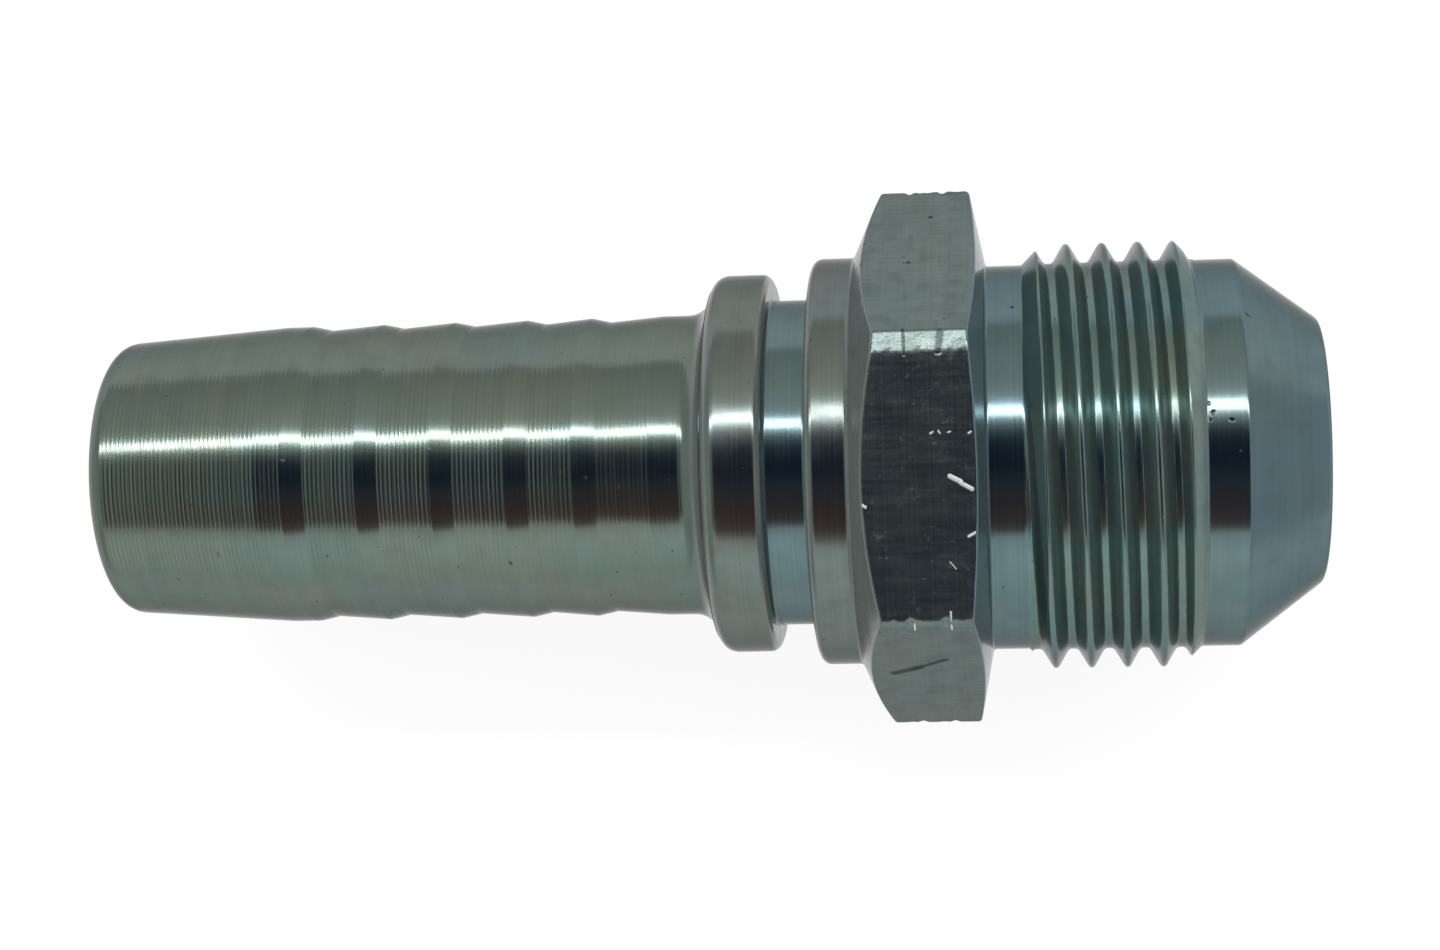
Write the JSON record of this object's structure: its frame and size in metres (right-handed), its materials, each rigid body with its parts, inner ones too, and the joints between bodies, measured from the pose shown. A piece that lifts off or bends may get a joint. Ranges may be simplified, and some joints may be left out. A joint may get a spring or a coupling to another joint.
{
  "type": "hose barb tail",
  "caption": "One-piece steel hose tail: barbed tail and ferrule groove at one end, spanner hexagon, and a male thread with a 37 degree sealing cone at the other.",
  "frame": {"origin": "on the fitting's axis, in the plane of the hose stop (the collar face that the hose end butts against)", "axes": "+X along the axis towards the threaded nose, +Z square to one hexagon flat, the hexagon's opposite flat faces -Z"},
  "size_m": [0.0548, 0.0242, 0.021],
  "materials": {
    "zinc_plated_steel": "bright zinc plate over fine turning marks"
  },
  "bodies": {
    "root": {"hose_tail": "zinc_plated_steel"}
  },
  "joints": []
}
